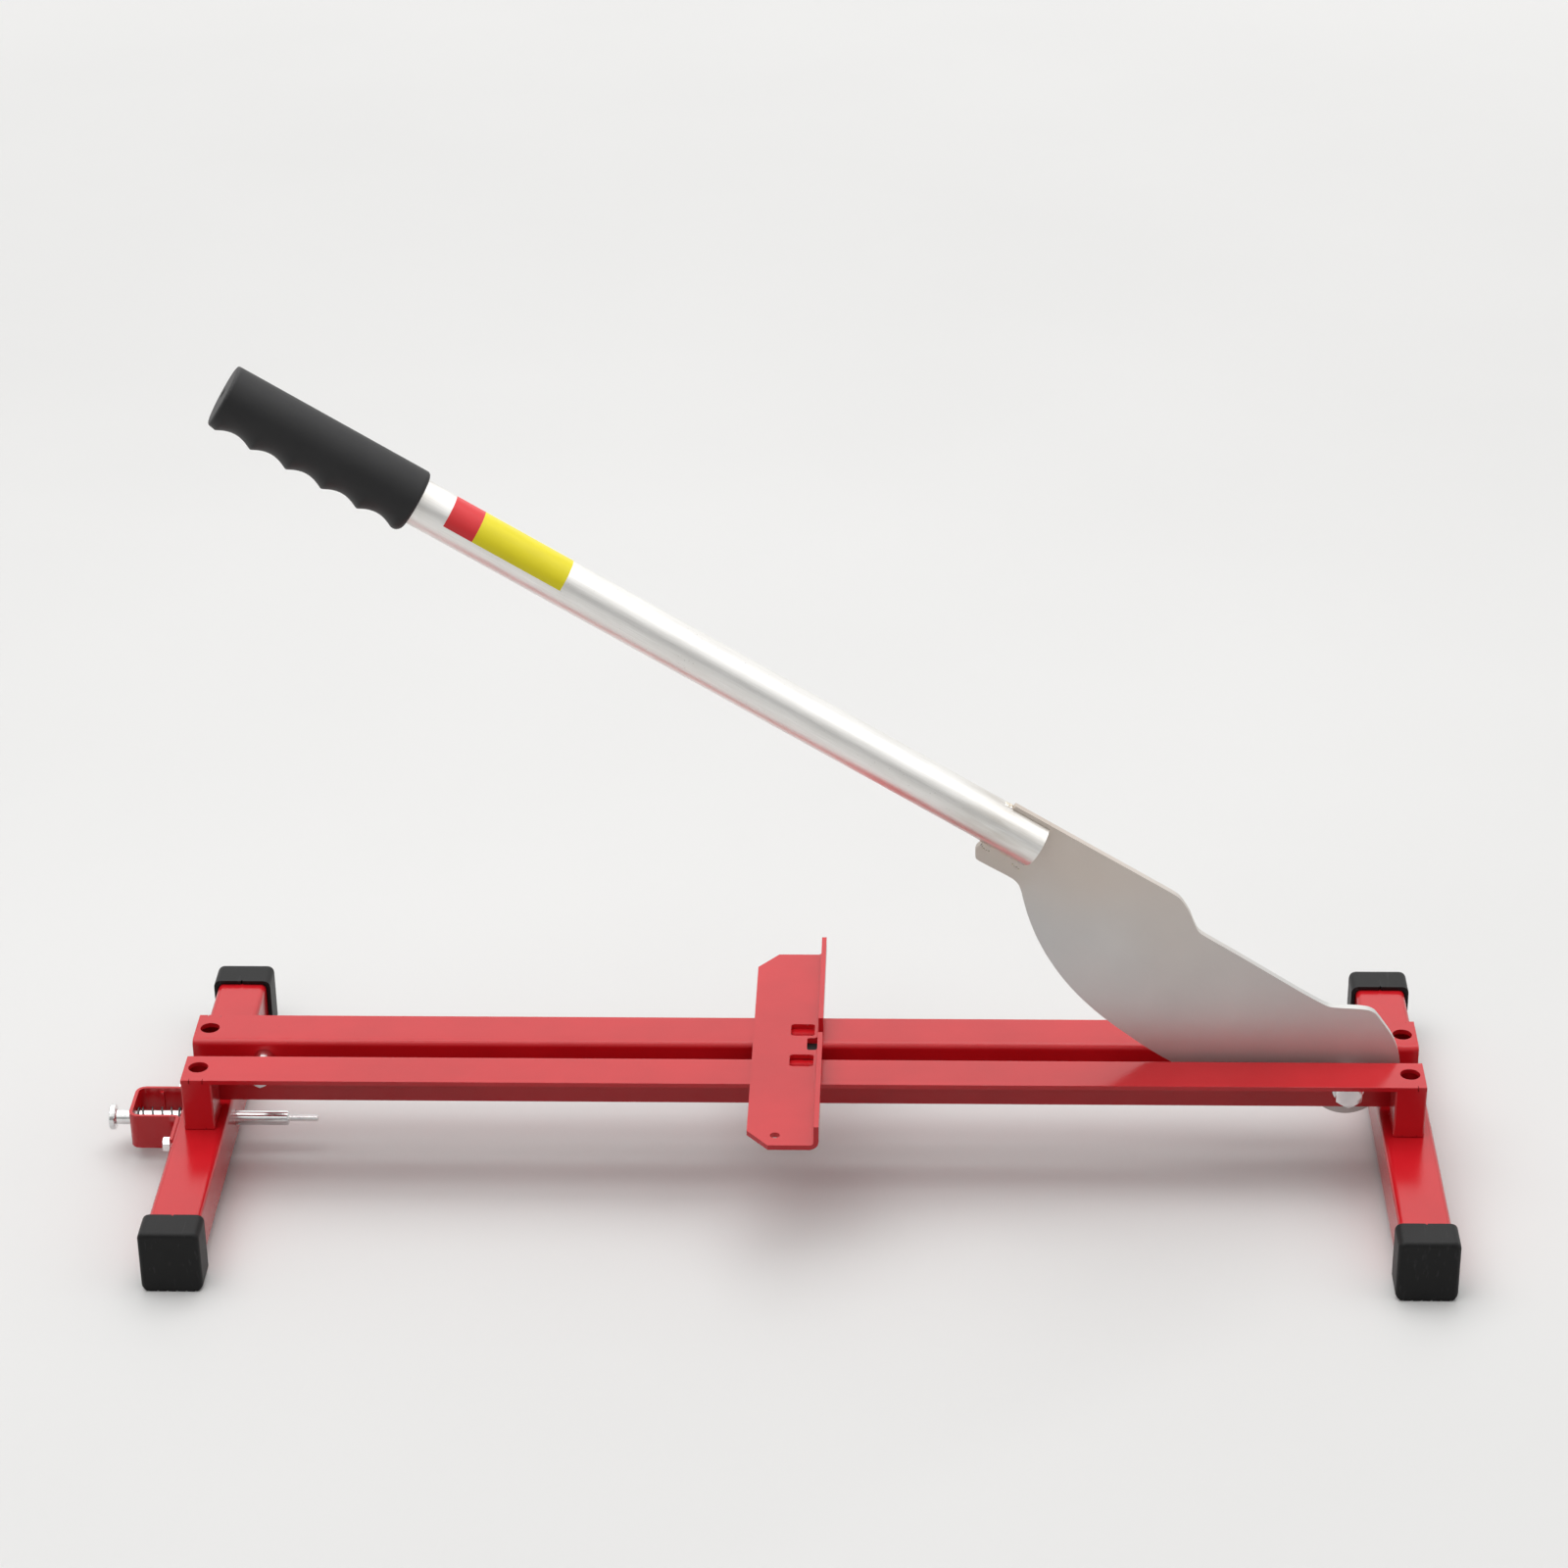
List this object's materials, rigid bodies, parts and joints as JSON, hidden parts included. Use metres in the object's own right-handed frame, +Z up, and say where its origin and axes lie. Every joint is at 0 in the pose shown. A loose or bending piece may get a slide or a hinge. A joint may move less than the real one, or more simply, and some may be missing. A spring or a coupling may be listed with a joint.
{
  "type": "laminate cutter",
  "caption": "Steel bench cutter for laminate board: angle rails on cross feet, bent fence, hinged shear blade on a long tube handle, spring pull pin.",
  "frame": {"origin": "middle of the bounding box in X and Y, on the surface the shoes stand on", "axes": "+X along the rails toward the blade's pivot, +Y from the front shoes to the back ones, +Z up"},
  "size_m": [0.6676, 0.2568, 0.4243],
  "materials": {
    "red_paint": "gloss red powder coat",
    "black_plastic": "moulded black plastic",
    "black_rubber": "matte black rubber",
    "blade_steel": "satin ground steel",
    "handle_metal": "brushed tube",
    "zinc": "bright zinc plate",
    "spring_steel": "oiled spring wire"
  },
  "bodies": {
    "frame": {"left_foot_tube": "red_paint", "right_foot_tube": "red_paint", "front_rail": "red_paint", "back_rail": "red_paint", "left_front_riser": "red_paint", "left_back_riser": "red_paint", "right_front_riser": "red_paint", "right_back_riser": "red_paint", "fence_plate": "red_paint", "latch_strap": "red_paint", "left_front_shoe": "black_plastic", "left_back_shoe": "black_plastic", "right_front_shoe": "black_plastic", "right_back_shoe": "black_plastic", "pivot_bolt": "zinc", "pivot_nut": "zinc", "pivot_front_washer": "zinc", "pivot_back_washer": "zinc", "pivot_front_spacer": "zinc", "pivot_back_spacer": "zinc", "tie_bolt": "zinc", "tie_nut": "zinc", "tie_spacer": "zinc", "strap_front_screw": "zinc", "strap_back_screw": "zinc", "latch_spring": "spring_steel", "slot_bumper": "black_rubber"},
    "lever": {"cutter_blade": "blade_steel", "handle_tube": "handle_metal", "handle_grip": "black_rubber"},
    "pull_pin": {"latch_pin": "zinc", "latch_clip": "zinc"}
  },
  "joints": [
    {"name": "lever_pivot", "type": "hinge", "parent": "frame", "child": "lever", "pos_m": [0.2902, 0, 0.0446], "axis": [0, -1, 0], "range_deg": [-36, 29.5]},
    {"name": "pull_pin_slide", "type": "slide", "parent": "frame", "child": "pull_pin", "axis": [-1, 0, 0], "range_m": [0, 0.012], "stiffness_N_per_m": 350, "springref_m": -0.01, "deforming": ["latch_spring"]}
  ]
}
